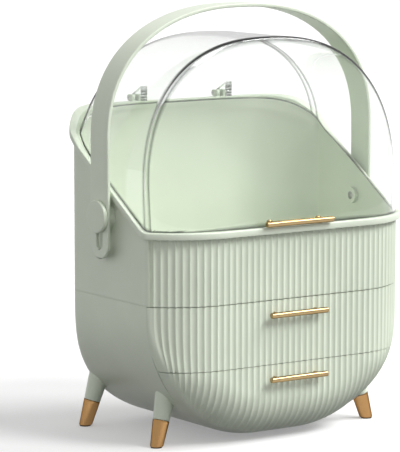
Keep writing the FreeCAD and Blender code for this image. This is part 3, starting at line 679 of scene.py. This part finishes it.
# The strap's outer face: rows across the strap from one tail over the arch to the other.
# Each half runs from the slot's edge (or the middle) to the strap's edge, and both are
# thickened inwards. The tail ends in a half circle, and so does each end of the slot.
def carryHandle():
    half, centre = handle["width"] / 2, handle["pivotZ"] - handle["tail"]
    slot, slotLow = handle["slotHalf"], handle["pivotZ"] - handle["travel"]
    swing = np.linspace(0, math.pi / 2, handle["endSteps"])
    low = np.unique(np.round(np.concatenate([
        centre - half * np.cos(swing), slotLow - slot * np.cos(swing),
        np.linspace(slotLow, handle["pivotZ"], handle["slotSteps"]),
        handle["pivotZ"] + slot * np.sin(swing),
        np.linspace(handle["pivotZ"] + slot, handle["spring"], handle["sideSteps"])]), 3))
    ax, az = archPoints(handle, np.linspace(0, math.pi / 2, handle["arcSteps"]))
    run = lengthAlong(ax, az)
    even = np.linspace(0, run[-1], handle["archSteps"])[1:]
    x = np.concatenate([0 * low + handle["half"], np.interp(even, run, ax)])
    z = np.concatenate([low, np.interp(even, run, az)])
    below = np.clip(centre - z, 0, half)
    outer = np.sqrt(half ** 2 - below ** 2)
    beyond = np.maximum(np.maximum(slotLow - z, z - handle["pivotZ"]), 0)
    inner = np.sqrt(np.maximum(slot ** 2 - beyond ** 2, 0))
    x = np.concatenate([x, -x[::-1][1:]])
    z, outer, inner = (np.concatenate([a, a[::-1][1:]]) for a in (z, outer, inner))
    share = np.linspace(0, 1, handle["across"])[None, :]
    offset = inner[:, None] + (outer - inner)[:, None] * share
    grids = []
    for side in (-1, 1):
        y = handle["pivotY"] + side * offset
        grid = np.stack([x[:, None] + 0 * y, y, z[:, None] + 0 * y], axis=-1)
        grids.append(grid if side > 0 else grid[:, ::-1])
    mesh = meshFromGrids("handle", grids)
    return addPiece("carry_handle_strap", mesh, sagePlastic, "handle", ["carry_handle"],
                    wall=handle["wall"], soften=handle["soften"], sharp=40)


carryHandle()
print("carry handle made")

# Turns a profile of (distance along the axis, radius) in mm about an axis from start:
# start + distance axis + radius (cos t side + sin t other).
def turned(name, profile, start, along, material, rideOn, stands, steps=72, sharp=35):
    axis = np.array(along, float) / np.linalg.norm(along)
    side = np.cross(axis, (0, 0, 1) if abs(axis[2]) < 0.8 else (0, 1, 0))
    side /= np.linalg.norm(side)
    other = np.cross(axis, side)
    angle = np.linspace(0, 2 * math.pi, steps, endpoint=False)
    spoke = np.cos(angle)[:, None] * side + np.sin(angle)[:, None] * other
    profile = np.array(profile, float)
    grid = (np.array(start, float) + profile[:, None, :1] * axis + profile[:, None, 1:] * spoke)
    return addPiece(name, meshFromGrids(name, [grid], ring=True), material, rideOn, stands,
                    sharp=sharp)


# Profile of a rod whose ends are rounded by soften, with a ring on each flat end.
def rodProfile(length, radius, soften, steps=5, ringShare=0.6):
    turn = np.linspace(0, math.pi / 2, steps)
    first = np.stack([soften * (1 - np.cos(turn)), radius - soften * (1 - np.sin(turn))], axis=1)
    last = np.stack([length - first[::-1, 0], first[::-1, 1]], axis=1)
    flat = (radius - soften) * ringShare
    return np.concatenate([[(0, 0), (0, flat)], first, last, [(length, flat), (length, 0)]])


bars = dict(radius=2.75, standoff=7.2, soften=0.35, drawerLength=67.0, lidLength=79.0,
            drawerDrop=13.2, lidLevel=215.6)  # drawerDrop is below the drawer front's top
for name, rideOn, stands, length, level in (
        ("lower", "lower_drawer", "lower_drawer_bar", bars["drawerLength"],
         lowerTop - bars["drawerDrop"]),
        ("upper", "upper_drawer", "upper_drawer_bar", bars["drawerLength"],
         upperTop - bars["drawerDrop"]),
        ("lid", "lid", "lid_bar", bars["lidLength"], bars["lidLevel"])):
    turned(name + "_pull_bar", rodProfile(length, bars["radius"], bars["soften"]),
           (-length / 2, -body["halfDepth"] - bars["standoff"], level), (1, 0, 0), goldMetal,
           rideOn, [stands], steps=48)

button = dict(start=160.3, thick=4.6, radius=16.0, dome=0.35, soften=1.5, backSoft=0.6, steps=8)


# Profile of a button: a back edge rounded by backSoft, a front edge rounded by soften and a
# face that domes as dome (1 - (r / radius)^2).
def buttonProfile():
    radius, soften, backSoft = button["radius"], button["soften"], button["backSoft"]
    turn = np.linspace(0, math.pi / 2, button["steps"])
    edge = np.stack([button["thick"] - button["dome"] - soften * (1 - np.sin(turn)),
                     radius - soften * (1 - np.cos(turn))], axis=1)
    r = np.linspace(radius - soften - 1, 0, button["steps"])
    face = np.stack([button["thick"] - button["dome"] * (r / radius) ** 2, r], axis=1)
    back = [(0, 0), (0, radius - backSoft), (backSoft / 3, radius - backSoft / 3),
            (backSoft, radius)]
    return np.concatenate([back, edge, face])


for name, side in (("left", -1), ("right", 1)):
    turned("pivot_button_cap_" + name, buttonProfile(),
           (side * button["start"], handle["pivotY"], handle["pivotZ"]), (side, 0, 0),
           sagePlastic, "handle_pivots", ["pivot_button_" + name], sharp=40)
print("bars and buttons made")

legs = dict(footX=127.8, frontY=-47.0, backY=81.0, radius=6.2, taper=0.078, tip=25.6, pad=1.2,
            splayX=0.275, splayY=0.085, reach=110.0, sunk=0.4, tipGap=0.25, plainFrom=0.7,
            soleShare=0.94, soft=0.5, steps=64, rows=16,
            sleeveEdge=((0.0, 0.5), (0.1, 0.15), (0.4, 0.0)),  # (height, radius taken off)
            tipEdge=((-0.2, 0.15), (0.0, 0.6)))


# True inside the body: within the belly's outline and between its front and back.
def insideBody(p):
    x, y, z = p[..., 0], p[..., 1], p[..., 2]
    return bodyGap(x, y, z, np.where(y < 0, body["frontEdge"], body["backEdge"])) < 0


# A leaning cone: its ring at height h is round foot + h slope, with radius + taper h, less a
# cut. The sleeve starts tipGap above the tip and runs up until it is sunk into the belly all
# round; the tip ends in a flat sole on the pad.
def leg(name, side, footY):
    slope = np.array([-side * legs["splayX"], -math.copysign(legs["splayY"], footY), 1.0])
    foot = np.array([side * legs["footX"], footY, 0.0])
    axis = slope / np.linalg.norm(slope)
    angle = np.linspace(0, 2 * math.pi, legs["steps"], endpoint=False)
    u = np.cross(axis, (0, 1, 0))
    u /= np.linalg.norm(u)
    spoke = np.cos(angle)[:, None] * u + np.sin(angle)[:, None] * np.cross(axis, u)

    # All points of the ring drawn together at its middle.
    def middle(height):
        return foot + height * slope + 0 * spoke

    # The ring at one height, or at a height for each of its points.
    def ring(height, cut=0.0):
        height = np.asarray(height, float).reshape(-1, 1)
        radius = legs["radius"] + legs["taper"] * height - cut
        return foot + height * slope + radius * spoke

    tip, soft, start = legs["tip"], legs["soft"], legs["tip"] + legs["tipGap"]
    plain = tip + legs["plainFrom"]
    share = np.linspace(0, 1, legs["rows"])
    meet = bisect(lambda height: ~insideBody(ring(height)), np.full(legs["steps"], tip),
                  np.full(legs["steps"], legs["reach"]))
    rows = [middle(start)] + [ring(start + up, cut) for up, cut in legs["sleeveEdge"]]
    rows += [ring(plain + (meet + legs["sunk"] - plain) * k) for k in share]
    rows += [rows[-1].mean(axis=0) + 0 * spoke]
    mesh = meshFromGrids("sleeve_" + name, [np.stack(rows)], ring=True)
    addPiece("leg_sleeve_cone_" + name, mesh, sagePlastic, "box", ["leg_sleeve_" + name])

    sole = legs["pad"] - ring(np.zeros(legs["steps"]))[:, 2]  # heights that end level on the pad
    soleRing, centre = ring(sole), middle(legs["pad"])
    rows = [np.array([*soleRing[:, :2].mean(axis=0), legs["pad"]]) + 0 * spoke,
            centre + (soleRing - centre) * legs["soleShare"]]
    rows += [ring(sole + soft + (tip - 2 * soft - sole) * k) for k in share]
    rows += [ring(tip + up, cut) for up, cut in legs["tipEdge"]] + [middle(tip)]
    mesh = meshFromGrids("tip_" + name, [np.stack(rows)], ring=True)
    addPiece("leg_tip_ferrule_" + name, mesh, copperMetal, "box", ["leg_tip_" + name])


for name, side, footY in (("front_left", -1, legs["frontY"]), ("front_right", 1, legs["frontY"]),
                          ("back_left", -1, legs["backY"]), ("back_right", 1, legs["backY"])):
    leg(name, side, footY)
print("legs made")

nodeBody = {n: b for b, names in frame["record"]["behaviour"]["bodies"].items() for n in names}
legCorners = ("front_left", "front_right", "back_left", "back_right")


# A copy of a CAD node's mesh with its loose triangles merged, so that its curves shade smoothly.
def smoothCopy(node, material, trim=None):
    mesh = cadNodes[node].data.copy()
    work = bmesh.new()
    work.from_mesh(mesh)
    bmesh.ops.remove_doubles(work, verts=work.verts, dist=weldGap / 2)
    work.to_mesh(mesh)
    work.free()
    addPiece(node + "_finished", mesh, material, nodeBody[node], [node], sharp=30,
             trim=trim)


finishes = (
    (trayPlastic, "tray_plastic", ("lower_drawer_tray", "upper_drawer_tray", "drawer_shelf")),
    (whitePlastic, "glide_plastic", ("lower_drawer_glides",)),
    (sagePlastic, "spacer_plastic", ("pivot_spacer_left", "pivot_spacer_right", "rim_hinge_left",
                                     "rim_hinge_right", "pivot_nut_left", "pivot_nut_right")),
    (frostedAcrylic, "clear_acrylic", ("lid_hinge_left", "lid_hinge_right")),
    (goldMetal, "gold_metal", ("lid_bar_posts", "lid_bar_screws", "lower_drawer_bar_posts",
                               "upper_drawer_bar_posts")),
    (padRubber, "pad_rubber", ["foot_pad_" + corner for corner in legCorners]),
    (plainSteel, "steel", ("tub_screws", "leg_bolts", "hinge_pin_left", "hinge_pin_right",
                           "pivot_pin_left", "pivot_pin_right",
                           "lower_drawer_bar_screws", "upper_drawer_bar_screws")))
for material, slot, names in finishes:
    for node in names:
        smoothCopy(node, material)
screwShort = 0.4  # the hinge screws stop this far short of the wall's inner face
screwDepth = body["halfDepth"] - body["wall"] + screwShort
smoothCopy("rim_hinge_screws", sagePlastic,
           trim=lambda p: np.maximum(p, (-body["halfWidth"], screwDepth, 0)))
print("carried-over pieces dressed")

stage = dict(floorHalf=12.0, floorColour="#D8D8D8", floorBounce="#4C4C4C", floorLift=0.28,
             horizonLight=1.55, zenithLight=0.25, lampSpread=22.0,
             lamps=((25.0, 44.0, 1.9), (64.0, 45.0, 1.9)))  # degrees right, degrees up, power


# 1 where a surface is seen directly, mirrored or through something clear, otherwise 0.
def rayShown(tree):
    path = addNode(tree, "ShaderNodeLightPath")
    shown = path.outputs["Is Camera Ray"]
    for kind in ("Is Glossy Ray", "Is Transmission Ray"):
        shown = addNode(tree, "ShaderNodeMath", {0: shown, 1: path.outputs[kind]},
                        operation="MAXIMUM").outputs[0]
    return shown


# A plain square. It is drawn pale and glows a little where it is seen, and is darker as a
# source of light, so that the belly keeps its shade.
def makeFloor():
    h = stage["floorHalf"]
    mesh = bpy.data.meshes.new("floor")
    mesh.from_pydata([(-h, -h, 0), (h, -h, 0), (h, h, 0), (-h, h, 0)], [], [(0, 1, 2, 3)])
    floor = bpy.data.objects.new("floor", mesh)
    bpy.context.scene.collection.objects.link(floor)
    material, tree = newMaterial("white studio floor")
    seen = rayShown(tree)
    amount = addNode(tree, "ShaderNodeMath", {0: seen, 1: stage["floorLift"]},
                     operation="MULTIPLY")
    colour = addNode(tree, "ShaderNodeMix", {0: seen, 6: linearColour(stage["floorBounce"]),
                                             7: linearColour(stage["floorColour"])},
                     data_type="RGBA")
    matt = addNode(tree, "ShaderNodeBsdfDiffuse", {"Color": colour.outputs[2]})
    glow = addNode(tree, "ShaderNodeEmission", {"Strength": amount.outputs[0]})
    both = addNode(tree, "ShaderNodeAddShader", {0: matt.outputs[0], 1: glow.outputs[0]})
    addNode(tree, "ShaderNodeOutputMaterial", {"Surface": both.outputs[0]})
    mesh.materials.append(material)


# White where it is seen; as light, brightest at the horizon and falling with the sine of the
# height, as in a studio with pale walls.
def makeWorld():
    world = bpy.data.worlds.new("studio")
    bpy.context.scene.world = world
    world.use_nodes = True
    tree = world.node_tree
    tree.nodes.clear()
    place = addNode(tree, "ShaderNodeTexCoord").outputs["Generated"]
    height = addNode(tree, "ShaderNodeSeparateXYZ", {"Vector": place}).outputs["Z"]
    light = addNode(tree, "ShaderNodeMapRange", {"Value": height, "To Min": stage["horizonLight"],
                                                 "To Max": stage["zenithLight"]})
    strength = addNode(tree, "ShaderNodeMix", {0: rayShown(tree), 2: light.outputs[0], 3: 1.0})
    sky = addNode(tree, "ShaderNodeBackground", {"Strength": strength.outputs[0]})
    addNode(tree, "ShaderNodeOutputWorld", {"Surface": sky.outputs[0]})


# Wide soft lamps so far off that their light is even over the whole floor.
def addLamps():
    for number, (right, up, power) in enumerate(stage["lamps"]):
        lamp = bpy.data.lights.new(f"softbox{number}", "SUN")
        lamp.energy = power
        lamp.angle = math.radians(stage["lampSpread"])
        holder = bpy.data.objects.new(lamp.name, lamp)
        right, up = math.radians(right), math.radians(up)
        towards = Vector((math.sin(right) * math.cos(up), -math.cos(right) * math.cos(up),
                          math.sin(up)))
        holder.rotation_euler = towards.to_track_quat("Z", "Y").to_euler()
        bpy.context.scene.collection.objects.link(holder)


# Seen from the front left, 7.5 degrees above level, with a long lens.
def makeCamera():
    view = dict(place=(-1.5987, -2.2533, 0.5639), right=(0.823159, -0.567811, 0.0),
                up=(0.074114, 0.107444, 0.991445), back=(-0.562953, -0.816117, 0.130526),
                lens=223.86, sensor=36.0, clip=100.0)
    camera = bpy.data.cameras.new("camera")
    camera.lens = view["lens"]
    camera.sensor_width, camera.clip_end = view["sensor"], view["clip"]
    holder = bpy.data.objects.new("camera", camera)
    turn = Matrix((view["right"], view["up"], view["back"])).transposed().to_4x4()
    holder.matrix_world = Matrix.Translation(view["place"]) @ turn
    bpy.context.scene.collection.objects.link(holder)
    bpy.context.scene.camera = holder


makeFloor()
makeWorld()
addLamps()
makeCamera()
bpy.context.scene.view_settings.view_transform = "Standard"
print("floor, light and camera made")
